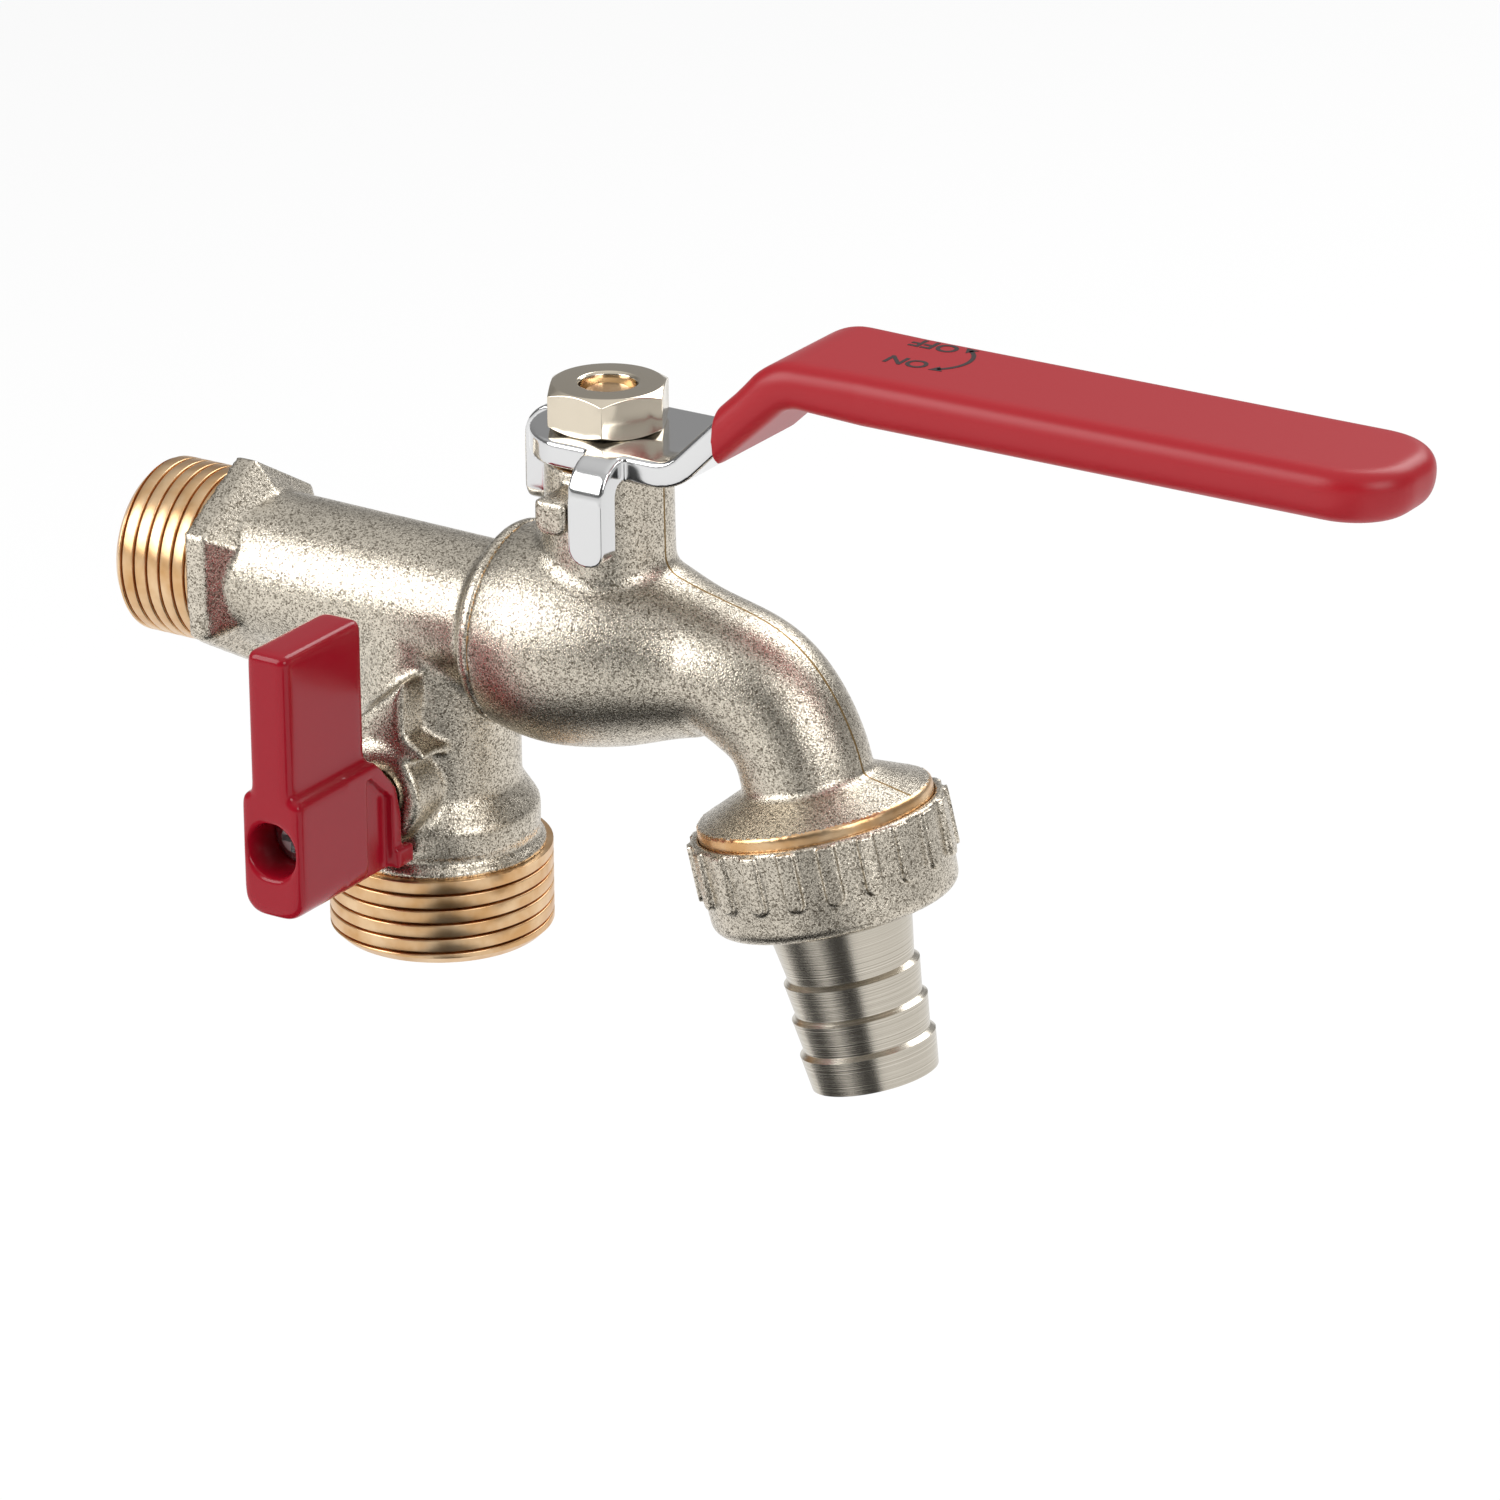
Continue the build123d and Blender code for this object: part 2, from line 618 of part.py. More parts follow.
near_tab = tab_side.location * Pos(0, 0, near_tab_offset) * extrude(tab_face, tab_w)
near_tab = fillet(near_tab.edges().filter_by(Axis.Y).group_by(Axis.Z)[0], tab_w * tab_end_share)
rear_tab = lever_side.location * Pos(0, 0, -rear_tab_offset - tab_w) * extrude(tab_face, tab_w)
rear_tab = fillet(rear_tab.edges().filter_by(Axis.X).group_by(Axis.Z)[0], tab_w * tab_end_share)
lever = lever + near_tab + rear_tab
hole_end = plate_top_z + plate_t
lever = lever - double_d(stem_up, plate_bottom_z - plate_t, hole_end, stem_thread_r + run, stem_flat + run)
parts["lever_plate"] = lever
sleeve_t = plate_t + 2 * sleeve_coat
sleeve_w = plate_w + 2 * sleeve_coat
sleeve_path = [*lever_path[:3], (grip_end + sleeve_coat, grip_z)]
sleeve = bent_strip(sleeve_path, plate_bend_r, sleeve_t)
sleeve = lever_side.location * extrude(sleeve, sleeve_w / 2, both=True)
sleeve_len = grip_end + sleeve_coat
sleeve_plan = Pos(sleeve_len / 2, 0) * Rectangle(sleeve_len, sleeve_w)
sleeve_plan = fillet(sleeve_plan.vertices().group_by(Axis.X)[-1], sleeve_end_r)
sleeve = sleeve & (stem_up.location * extrude(sleeve_plan, grip_z * 2))
sleeve = sleeve & block(stem_up, (sleeve_start, sleeve_len + sleeve_coat), (-sleeve_w, sleeve_w),
                        (0, grip_z * 2))
long_edges = [e for e in sleeve.edges() if e.bounding_box().min.X > valve_x + sleeve_start - run
              and e.length > sleeve_t * 1.5 and e.bounding_box().size.X > sleeve_coat / 2]
sleeve = fillet(long_edges, sleeve_t * sleeve_round_share)
parts["lever_sleeve"] = sleeve - lever
nut_end = plate_top_z + nut_h
nut_corner = nut_across_flats / sqrt(3)
nut = stem_up.location * Pos(0, 0, plate_top_z) * extrude(
    RegularPolygon(nut_corner, 6, rotation=nut_turn), nut_h)
nut = nut & turned(
    [
        (plate_top_z, 0),
        (plate_top_z, nut_across_flats * nut_face_share),
        (plate_top_z + nut_h * nut_chamfer_share, nut_corner + run),
        (nut_end - nut_h * nut_chamfer_share, nut_corner + run),
        (nut_end, nut_across_flats * nut_face_share),
        (nut_end, 0),
    ],
    stem_up,
)
nut = nut - round_bar(stem_up, plate_top_z, nut_end, stem_thread_r + run)
sink_floor = nut_end - nut_sink
nut = nut - turned([(sink_floor, 0), (sink_floor, stem_thread_r), (nut_end, stem_thread_r + nut_sink),
                    (nut_end, 0)], stem_up)
parts["lever_nut"] = nut

# Hose tail, its gasket and the ribbed union nut
parts["hose_gasket"] = ring(outlet_plane, outlet_end, gasket_end, tail_bore_r + gasket_bore_gap, gasket_r)
tail_points = [
    (gasket_end, tail_bore_r),
    (gasket_end, tail_flange_r),
    (flange_end, tail_flange_r),
    (flange_end, tail_neck_r),
    (union_end + 2 * tail_barb_slope, tail_neck_r - 2 * run),
    (tail_first_barb, tail_root_r),
]
for count in range(3):
    top = tail_first_barb + tail_barb_pitch * count
    low = tail_end if count == 2 else top + tail_barb_pitch
    tail_points = [*tail_points, (top + tail_barb_slope, tail_barb_r), (low, tail_root_r)]
tail_points = [*tail_points, (tail_end, tail_bore_r)]
parts["hose_tail"] = turned(tail_points, outlet_plane)
lip = flange_end + run
union = turned(
    [
        (union_top, rim_r + 2 * run),
        (union_top, union_r - union_chamfer),
        (union_top + union_chamfer, union_r),
        (union_end, union_r - union_draft),
        (union_end, tail_neck_r + loose),
        (lip, tail_neck_r + loose),
        (lip, branch_thread_r + run),
        (rim_end + run, branch_thread_r + run),
        (rim_end + run, rim_r + 2 * run),
    ],
    outlet_plane,
    soft=[(union_end, union_r - union_draft, union_end_fillet)],
)
rib = block(Plane.XY, (union_r - 2 * union_draft, union_r + union_rib_h),
            (-union_rib_w / 2, union_rib_w / 2), (union_top + union_chamfer, union_rib_end))
rib = fillet(rib.edges().filter_by(Axis.X).group_by(Axis.Z)[-1], union_rib_w * union_rib_round_share)
for count in range(union_ribs):
    union = union + outlet_plane.location * Rot(0, 0, count * 360 / union_ribs) * rib
parts["union_nut"] = union

os.makedirs("parts", exist_ok=True)
for name, shape in parts.items():
    export_step(shape, "parts/" + name + ".step")
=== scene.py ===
# Double outlet garden tap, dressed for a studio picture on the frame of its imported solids.
from math import atan2, cos, pi, radians, sin
import bpy
from mathutils import Matrix, Vector


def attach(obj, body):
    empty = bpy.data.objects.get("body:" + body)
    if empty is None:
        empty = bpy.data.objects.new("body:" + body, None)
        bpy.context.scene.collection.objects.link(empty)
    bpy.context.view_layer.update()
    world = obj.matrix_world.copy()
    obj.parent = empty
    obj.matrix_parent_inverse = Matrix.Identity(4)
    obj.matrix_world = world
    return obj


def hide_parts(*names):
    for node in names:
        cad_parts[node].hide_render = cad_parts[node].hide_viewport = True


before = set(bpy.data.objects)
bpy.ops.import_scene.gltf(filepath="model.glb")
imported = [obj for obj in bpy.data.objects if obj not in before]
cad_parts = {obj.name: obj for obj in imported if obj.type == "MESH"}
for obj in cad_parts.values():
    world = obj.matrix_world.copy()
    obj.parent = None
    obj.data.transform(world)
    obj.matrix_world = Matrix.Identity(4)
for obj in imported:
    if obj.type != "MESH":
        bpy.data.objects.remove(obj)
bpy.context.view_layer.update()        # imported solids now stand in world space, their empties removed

mm = 0.001


# Tee body: a hot-forged brass tee, shot blasted and nickel plated all over.
# The inlet and branch ends are then turned and threaded, which leaves bare brass there.
# The casting is a remeshed copy of the solid, so its corners run out as soft as forged ones.
def linear(code):
    """Linear colour from an sRGB hex value."""
    parts = [int(code[k:k + 2], 16) / 255 for k in (1, 3, 5)]
    return [c / 12.92 if c <= 0.04045 else ((c + 0.055) / 1.055) ** 2.4 for c in parts] + [1]


def add(tree, kind, inputs, **settings):
    """Adds one node, sets its fields, and fills or links its inputs."""
    made = tree.nodes.new(kind)
    for name, value in settings.items():
        setattr(made, name, value)
    for name, value in inputs.items():
        if isinstance(value, bpy.types.NodeSocket):
            tree.links.new(value, made.inputs[name])
        else:
            made.inputs[name].default_value = value
    return made


def new_material(name):
    """Empty node material with its principled shader and output ready."""
    made = bpy.data.materials.new(name)
    made.use_nodes = True
    return made, made.node_tree, made.node_tree.nodes["Principled BSDF"]


# Blasted nickel plate: a grey-gold metal whose shot-blasted grain breaks highlights into sparks.
# Each blast mark is a facet under 0.2 mm with its own gloss and its own tone. That tone runs from
# dark to near white: partly the grain's random tone, partly painted glints and painted shade that
# make the sparkle. Wider patches vary the tone.
grit = 0.17 * mm
patch = 9 * mm
blasted_nickel, tree, shader = new_material("blasted_nickel_plate")
place = add(tree, "ShaderNodeTexCoord", {}).outputs["Object"]
facets = add(tree, "ShaderNodeTexVoronoi", {"Vector": place, "Scale": 1 / grit})
facet = add(tree, "ShaderNodeSeparateColor", {"Color": facets.outputs["Color"]}).outputs["Red"]
grain = add(tree, "ShaderNodeTexNoise",
            {"Vector": place, "Scale": 1 / grit, "Detail": 2.0, "Roughness": 0.6})
cloud = add(tree, "ShaderNodeTexNoise",
            {"Vector": place, "Scale": 1 / patch, "Detail": 2.0, "Roughness": 0.5})
# Facet tone, dark to near white: random per blast mark, and partly painted glints and painted
# shade.
tone = add(tree, "ShaderNodeValToRGB", {"Fac": facet})
tone.color_ramp.elements[0].position = 0.0
tone.color_ramp.elements[0].color = linear("#685F51")
tone.color_ramp.elements[1].position = 0.6
tone.color_ramp.elements[1].color = linear("#E0D7C7")
shade = add(tree, "ShaderNodeMapRange",
            {"Value": cloud.outputs["Fac"], "From Min": 0.3, "From Max": 0.7,
             "To Min": 0.92, "To Max": 1.06})
toned = add(tree, "ShaderNodeVectorMath",
            {0: tone.outputs["Color"], "Scale": shade.outputs["Result"]}, operation="SCALE")
sheen = add(tree, "ShaderNodeMapRange",
            {"Value": facet, "To Min": 0.34, "To Max": 0.22})
relief = add(tree, "ShaderNodeBump",
             {"Height": grain.outputs["Fac"], "Strength": 1.0, "Distance": 0.055 * mm})
tree.links.new(toned.outputs["Vector"], shader.inputs["Base Color"])
tree.links.new(sheen.outputs["Result"], shader.inputs["Roughness"])
tree.links.new(relief.outputs["Normal"], shader.inputs["Normal"])
shader.inputs["Metallic"].default_value = 1.0

# Bare turned brass: warm and pale, finely uneven from the tool, with faint stains.
tool_mark = 0.18 * mm
stain_size = 4 * mm
bare_brass, tree, shader = new_material("bare_turned_brass")
place = add(tree, "ShaderNodeTexCoord", {}).outputs["Object"]
marks = add(tree, "ShaderNodeTexNoise",
            {"Vector": place, "Scale": 1 / tool_mark, "Detail": 1.0, "Roughness": 0.4})
stain = add(tree, "ShaderNodeTexNoise",
            {"Vector": place, "Scale": 1 / stain_size, "Detail": 3.0, "Roughness": 0.55})
tone = add(tree, "ShaderNodeValToRGB", {"Fac": stain.outputs["Fac"]})
tone.color_ramp.elements[0].position = 0.32
tone.color_ramp.elements[0].color = linear("#D0A26E")
tone.color_ramp.elements[1].position = 0.68
tone.color_ramp.elements[1].color = linear("#EAC9A0")
relief = add(tree, "ShaderNodeBump",
             {"Height": marks.outputs["Fac"], "Strength": 0.2, "Distance": 0.02 * mm})
tree.links.new(tone.outputs["Color"], shader.inputs["Base Color"])
tree.links.new(relief.outputs["Normal"], shader.inputs["Normal"])
shader.inputs["Metallic"].default_value = 1.0
shader.inputs["Roughness"].default_value = 0.3


def only(piece):
    """Makes one piece the only selected and the active one."""
    bpy.ops.object.select_all(action="DESELECT")
    piece.select_set(True)
    bpy.context.view_layer.objects.active = piece


weld = 0.0005 * mm


def copy_of(node, name, body):
    """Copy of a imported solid, welded into one skin, that stands for it on its body."""
    piece = bpy.data.objects.new(name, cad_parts[node].data.copy())
    bpy.context.scene.collection.objects.link(piece)
    only(piece)
    bpy.ops.object.mode_set(mode="EDIT")
    bpy.ops.mesh.select_all(action="SELECT")
    bpy.ops.mesh.remove_doubles(threshold=weld)
    bpy.ops.object.mode_set(mode="OBJECT")
    bpy.ops.object.shade_smooth_by_angle(angle=radians(32))
    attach(piece, body)
    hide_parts(node)
    return piece


def pick(piece, chosen):
    """Opens a piece for editing with only the points that pass a test selected."""
    only(piece)
    bpy.ops.object.mode_set(mode="EDIT")
    bpy.ops.mesh.select_mode(type="VERT")
    bpy.ops.mesh.select_all(action="DESELECT")
    bpy.ops.object.mode_set(mode="OBJECT")
    for point in piece.data.vertices:
        point.select = chosen(point.co)
    bpy.ops.object.mode_set(mode="EDIT")


def soften(piece, facet, passes):
    """Even skin of small faces over a piece, eased a few times so that its corners round."""
    skin = piece.modifiers.new("skin", "REMESH")
    skin.mode = "VOXEL"
    skin.voxel_size = facet
    only(piece)
    bpy.ops.object.modifier_apply(modifier="skin")
    bpy.ops.object.mode_set(mode="EDIT")
    bpy.ops.mesh.select_all(action="SELECT")
    bpy.ops.mesh.vertices_smooth(factor=0.5, repeat=passes)
    bpy.ops.object.mode_set(mode="OBJECT")
    bpy.ops.object.shade_smooth()


def ease(piece, passes, chosen):
    """Smooths the points that pass a test a number of times over."""
    pick(piece, chosen)
    bpy.ops.mesh.vertices_smooth(factor=0.5, repeat=passes)
    bpy.ops.object.mode_set(mode="OBJECT")


def paint(piece, *finishes):
    """Gives a piece its finishes in order, the first all over."""
    piece.data.materials.clear()
    for finish in finishes:
        piece.data.materials.append(finish)
    for face in piece.data.polygons:
        face.material_index = 0


inlet_r = 10.4775 * mm
branch_r = 13.2205 * mm
pitch = 1.814 * mm
thread_depth = 1.162 * mm
thread_end = -11.0 * mm
branch_x = 27.9 * mm
branch_top = -29.7 * mm
branch_end = -40.2 * mm

joint_x = 40.4 * mm
bore_r = 6.4 * mm
bore_end = 45 * mm
boss_y = -8.6 * mm
boss_low = -27 * mm
boss_high = -3 * mm

tee = copy_of("tee_body", "tee_casting", "tap_body")
hair = 0.02 * mm
for point in tee.data.vertices:
    out = Vector((0, point.co.y, point.co.z))
    on_bar = point.co.x < -hair or abs(out.length - inlet_r) < hair
    if point.co.x < hair and on_bar and out.length > inlet_r - thread_depth:
        point.co = Vector((point.co.x, 0, 0)) + out.normalized() * (inlet_r - thread_depth)
    out = Vector((point.co.x - branch_x, point.co.y, 0))
    on_bar = point.co.z < branch_top - hair or abs(out.length - branch_r) < hair
    if point.co.z < branch_top + hair and on_bar and out.length > branch_r - thread_depth:
        middle = Vector((branch_x, 0, point.co.z))
        point.co = middle + out.normalized() * (branch_r - thread_depth)
soften(tee, facet=0.38 * mm, passes=1)
ease(tee, 14, lambda spot: spot.y < boss_y and boss_low < spot.z < boss_high)
paint(tee, blasted_nickel, bare_brass)
for face in tee.data.polygons:
    middle = face.center
    in_thread = middle.x < -0.05 * mm or middle.z < branch_top - 0.1 * mm
    in_bore = Vector((middle.y, middle.z)).length < bore_r and middle.x < bore_end
    on_joint = middle.x > joint_x
    if in_thread or in_bore or on_joint:
        face.material_index = 1


# Pipe threads: the bare brass crests of the inlet and branch ends, cut right-handed on a lathe.
# One tooth is drawn flat, wound along its bar, and trimmed by the chamfered bar it is cut from.
tooth_depth = 1.6 * thread_depth
base_share = 0.99
crest_share = 0.84
crest_round = 0.13 * mm
lead_in = 0.9 * mm
steps_a_turn = 72


def thread(name, crest_r, length, centre, turn):
    """Right-hand thread of a bar that starts at centre and runs down its own -Z, then turned."""
    turns = int(length / pitch) + 3
    bpy.ops.object.select_all(action="DESELECT")
    bpy.ops.mesh.primitive_plane_add(size=1)
    tooth = bpy.context.object
    tooth.name = name
    bpy.ops.object.mode_set(mode="EDIT")
    bpy.ops.transform.rotate(value=pi / 2, orient_axis="X", center_override=(0, 0, 0))
    bpy.ops.transform.resize(value=(tooth_depth, 1, pitch * base_share),
                             center_override=(0, 0, 0))
    bpy.ops.transform.translate(value=(crest_r - tooth_depth / 2, 0, 0))
    bpy.ops.object.mode_set(mode="OBJECT")
    pick(tooth, lambda spot: spot.x > crest_r - thread_depth * 0.5)
    bpy.ops.transform.resize(value=(1, 1, crest_share), center_override=(crest_r, 0, 0))
    bpy.ops.mesh.bevel(offset=crest_round, segments=3, affect="VERTICES")
    bpy.ops.mesh.select_all(action="SELECT")
    bpy.ops.transform.translate(value=(0, 0, -length - 1.5 * pitch))
    bpy.ops.object.mode_set(mode="OBJECT")
    wind = tooth.modifiers.new("wind", "SCREW")
    wind.axis = "Z"
    wind.screw_offset = pitch
    wind.iterations = turns
    wind.steps = steps_a_turn
    wind.render_steps = steps_a_turn
    wind.use_merge_vertices = False
    only(tooth)
    bpy.ops.object.modifier_apply(modifier="wind")
    bpy.ops.object.mode_set(mode="EDIT")
    bpy.ops.mesh.select_all(action="SELECT")
    bpy.ops.mesh.remove_doubles(threshold=weld)
    bpy.ops.mesh.fill_holes(sides=0)
    bpy.ops.mesh.normals_make_consistent(inside=False)
    bpy.ops.object.mode_set(mode="OBJECT")
    bpy.ops.mesh.primitive_cylinder_add(vertices=144, radius=crest_r, depth=length,
                                        location=(0, 0, -length / 2))
    bar = bpy.context.object
    bpy.ops.object.transform_apply(location=True, rotation=False, scale=False)
    pick(bar, lambda spot: spot.z < -length * 0.9)
    bpy.ops.mesh.bevel(offset=lead_in, segments=1, affect="EDGES")
    bpy.ops.object.mode_set(mode="OBJECT")
    trim = tooth.modifiers.new("trim", "BOOLEAN")
    trim.operation = "INTERSECT"
    trim.solver = "EXACT"
    trim.object = bar
    only(tooth)
    bpy.ops.object.modifier_apply(modifier="trim")
    bpy.data.objects.remove(bar)
    tooth.data.transform(Matrix.Translation(centre) @ turn)
    bpy.ops.object.shade_smooth_by_angle(angle=radians(30))
    paint(tooth, bare_brass)
    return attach(tooth, "tap_body")


thread("inlet_thread_crests", inlet_r, -thread_end,
       Vector((0, 0, 0)), Matrix.Rotation(pi / 2, 4, "Y"))
thread("branch_thread_crests", branch_r, branch_top - branch_end,
       Vector((branch_x, 0, branch_top)), Matrix.Identity(4))


# Branch ball valve: a chromed ball between plastic seats, closed in by a screwed brass retainer.
# The forked stem comes out of the boss through its rubber ring and plastic washer.
def dress(finish, *nodes):
    """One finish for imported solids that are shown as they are."""
    for node in nodes:
        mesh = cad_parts[node].data
        mesh.materials.clear()
        mesh.materials.append(finish)


# Bright chrome: mirror plating on polished steel, barely clouded.
bright_chrome, _, shader = new_material("bright_chrome_plate")
shader.inputs["Base Color"].default_value = linear("#DADADA")
shader.inputs["Metallic"].default_value = 1.0
shader.inputs["Roughness"].default_value = 0.13

# Bright nickel: smooth plating on turned brass, warmer than chrome.
bright_nickel, _, shader = new_material("bright_nickel_plate")
shader.inputs["Base Color"].default_value = linear("#DACFBC")
shader.inputs["Metallic"].default_value = 1.0
shader.inputs["Roughness"].default_value = 0.16

# White seat plastic: waxy and slightly see-through, as PTFE is.
seat_plastic, _, shader = new_material("white_seat_plastic")
shader.inputs["Base Color"].default_value = linear("#E9E7E0")
shader.inputs["Roughness"].default_value = 0.38
shader.inputs["Subsurface Weight"].default_value = 0.15
shader.inputs["Subsurface Radius"].default_value = (0.8 * mm, 0.8 * mm, 0.7 * mm)

# Black seal rubber: dull and close to black.
seal_rubber, _, shader = new_material("black_seal_rubber")
shader.inputs["Base Color"].default_value = linear("#1B1B1C")
shader.inputs["Roughness"].default_value = 0.55

dress(bright_chrome, "branch_ball")
dress(bare_brass, "branch_seat_retainer")
dress(bright_nickel, "branch_stem")
dress(seat_plastic, "branch_seat_upper", "branch_seat_lower", "branch_thrust_washer")
dress(seal_rubber, "branch_stem_seal")


# Small handle: a die-cast blade in red gloss paint that turns the branch valve.
# Its edges are as thick as the paint leaves them, and it is held on by one screw.

# Red gloss paint: deep red, smooth, with a slight flow that bends its highlights.
flow_size = 2.5 * mm
red_paint, tree, shader = new_material("red_gloss_paint")
place = add(tree, "ShaderNodeTexCoord", {}).outputs["Object"]
flow = add(tree, "ShaderNodeTexNoise",
           {"Vector": place, "Scale": 1 / flow_size, "Detail": 1.0, "Roughness": 0.4})
relief = add(tree, "ShaderNodeBump",
             {"Height": flow.outputs["Fac"], "Strength": 0.12, "Distance": 0.05 * mm})
tree.links.new(relief.outputs["Normal"], shader.inputs["Normal"])
shader.inputs["Base Color"].default_value = linear("#930F20")
shader.inputs["Roughness"].default_value = 0.16
shader.inputs["Specular IOR Level"].default_value = 0.3

blade_y = -24 * mm
blade_z = -13 * mm
blade = copy_of("branch_handle", "small_handle_blade", "small_handle")
soften(blade, facet=0.2 * mm, passes=8)
ease(blade, 36, lambda spot: spot.y < blade_y or spot.z > blade_z)
paint(blade, red_paint)

# Handle screw: a zinc plated steel screw with a cross recess, driven into the end of the stem.
zinc_steel, _, shader = new_material("zinc_plated_steel")
shader.inputs["Base Color"].default_value = linear("#D3D4D4")
shader.inputs["Metallic"].default_value = 1.0
shader.inputs["Roughness"].default_value = 0.35
dress(zinc_steel, "branch_handle_screw")


# Spout body: a forged brass spout, blasted and plated like the tee, screwed over the tee's end.
# Turning leaves bare brass on the outlet's rim and on the neck's top.

# Parting seam: the trimmed flash line of the forging, tarnished brown.
parting_seam, _, shader = new_material("tarnished_parting_seam")
shader.inputs["Base Color"].default_value = linear("#8A7148")
shader.inputs["Metallic"].default_value = 1.0
shader.inputs["Roughness"].default_value = 0.5

outlet_zero = Vector((80.0313, 0, -16.0906)) * mm
outlet_tilt = radians(14.5)
outlet_way = Vector((sin(outlet_tilt), 0, -cos(outlet_tilt)))
rim_top = -2.35 * mm
rim_inside = 4 * mm
seam_start = 57.0 * mm
seam_half = 0.17 * mm
seam_facing = 0.2
neck_top = 22.5 * mm
spout = copy_of("spout_body", "spout_casting", "tap_body")
soften(spout, facet=0.335 * mm, passes=3)
paint(spout, blasted_nickel, bare_brass, parting_seam)
for face in spout.data.polygons:
    middle = face.center
    down = (middle - outlet_zero).dot(outlet_way)
    aside = (middle - outlet_zero - outlet_way * down).length
    on_rim = down > rim_top and aside > rim_inside and middle.z < 0
    faces_out = face.normal.z + face.normal.x > seam_facing
    if on_rim or middle.z > neck_top:
        face.material_index = 1
    elif abs(middle.y) < seam_half and middle.x > seam_start and faces_out:
        face.material_index = 2


# Main ball valve: the large chromed ball, its seats, and the stem with two rubber rings.
# The stem passes up the neck, and its flats carry the lever.
dress(bright_chrome, "main_ball")
dress(bare_brass, "main_stem")
dress(seat_plastic, "main_seat_inlet", "main_seat_outlet", "main_thrust_washer")
dress(seal_rubber, "main_stem_seal_lower", "main_stem_seal_upper")


# Lever plate: a pressed steel strip, polished and chromed, with two stop tabs bent at the hub.
# The press leaves its edges slightly rounded, and past the ramp the strip narrows a little.
grip_middle = 38.6 * mm
grip_start = 71.0 * mm
grip_full = 90.0 * mm
grip_share = 0.9


def fade(spot):
    """How far a point is along the ramp, from 0 at the grip's start to 1 where it runs level."""
    return max(0, min(1, (spot.x - grip_start) / (grip_full - grip_start)))


def draw_in(piece):
    """Draws both edges of the grip in a little, where the strip narrows past the ramp."""
    for point in piece.data.vertices:
        point.co.y *= 1 - (1 - grip_share) * fade(point.co)


plate = copy_of("lever_plate", "lever_strip", "lever")
soften(plate, facet=0.25 * mm, passes=6)
draw_in(plate)
paint(plate, bright_chrome)


# Lever sleeve: the strip's grip is dipped in red vinyl, which hangs thick under it as it sets.
# A generic open and shut mark is printed on its top in black.

# Red dipped vinyl: satin red, soft-edged, with long shallow waves.
wave_size = 6 * mm
red_vinyl, tree, shader = new_material("red_dipped_vinyl")
place = add(tree, "ShaderNodeTexCoord", {}).outputs["Object"]
flow = add(tree, "ShaderNodeTexNoise",
           {"Vector": place, "Scale": 1 / wave_size, "Detail": 1.0, "Roughness": 0.4})
relief = add(tree, "ShaderNodeBump",
             {"Height": flow.outputs["Fac"], "Strength": 0.15, "Distance": 0.1 * mm})
tree.links.new(relief.outputs["Normal"], shader.inputs["Normal"])
shader.inputs["Base Color"].default_value = linear("#A3131F")
shader.inputs["Roughness"].default_value = 0.38
shader.inputs["Specular IOR Level"].default_value = 0.4

grip = copy_of("lever_sleeve", "lever_grip", "lever")
soften(grip, facet=0.3 * mm, passes=8)
draw_in(grip)
sag = 0.5
sag_reach = 2.4 * mm
for point in grip.data.vertices:
    if point.co.x > grip_full and point.co.z < grip_middle:
        point.co.z -= sag * (grip_middle - point.co.z)
    elif point.co.x > grip_start and point.co.z < grip_middle:
        below = min(grip_middle - point.co.z, sag_reach)
        point.co.z -= sag * below * fade(point.co)
paint(grip, red_vinyl)

# Black print ink: a thin film, brownish from the red under it.
black_ink, _, shader = new_material("black_print_ink")
shader.inputs["Base Color"].default_value = linear("#241012")
shader.inputs["Roughness"].default_value = 0.45
grip_top = 41.0 * mm
ink = 0.03 * mm
letter = 3.3 * mm
stroke = 0.08 * mm


def word(text, x, y):
    """Printed word on the grip's top that reads from the tap's far side."""
    bpy.ops.object.select_all(action="DESELECT")
    bpy.ops.object.text_add()
    made = bpy.context.object
    made.name = "print_" + text.lower()
    made.data.body = text
    made.data.size = letter
    made.data.offset = stroke
    made.data.align_x = "CENTER"
    made.data.align_y = "CENTER"
    made.data.extrude = ink
    bpy.ops.object.convert(target="MESH")
    made = bpy.context.object
    made.data.transform(Matrix.Translation((x, y, grip_top)) @ Matrix.Rotation(pi, 4, "Z"))
    paint(made, black_ink)
    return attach(made, "lever")


word("OFF", 92.0 * mm, 5.5 * mm)
word("ON", 92.1 * mm, -0.7 * mm)

arc_r = 4.3 * mm
arc_half = 53.0
arc_width = 1.12
arc_centre = 1.06
head_r = 0.95 * mm
arc_middle = Vector((93.4 * mm, 2.4 * mm, grip_top))
bpy.ops.object.select_all(action="DESELECT")
bpy.ops.mesh.primitive_circle_add(vertices=96, radius=arc_r)
arrow = bpy.context.object
arrow.name = "print_arrow"
pick(arrow, lambda spot: abs(atan2(spot.y, spot.x)) > radians(arc_half))
bpy.ops.mesh.delete(type="VERT")
bpy.ops.mesh.select_all(action="SELECT")
bpy.ops.mesh.extrude_edges_indiv()
bpy.ops.transform.resize(value=(arc_width, arc_width, 1), center_override=(0, 0, 0))
bpy.ops.object.mode_set(mode="OBJECT")
heads = []
for bearing, turn in ((arc_half, arc_half), (-arc_half, 180 - arc_half)):
    bpy.ops.object.select_all(action="DESELECT")
    bpy.ops.mesh.primitive_circle_add(vertices=3, radius=head_r, fill_type="NGON")
    head = bpy.context.object
    spot = Vector((cos(radians(bearing)), sin(radians(bearing)), 0)) * arc_r * arc_centre
    head.data.transform(Matrix.Translation(spot) @ Matrix.Rotation(radians(turn), 4, "Z"))
    heads.append(head)
only(arrow)
for head in heads:
    head.select_set(True)
bpy.ops.object.join()
arrow.data.transform(Matrix.Translation(arc_middle))
film = arrow.modifiers.new("film", "SOLIDIFY")
film.thickness = 2 * ink
film.offset = 0
bpy.ops.object.modifier_apply(modifier="film")
paint(arrow, black_ink)
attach(arrow, "lever")


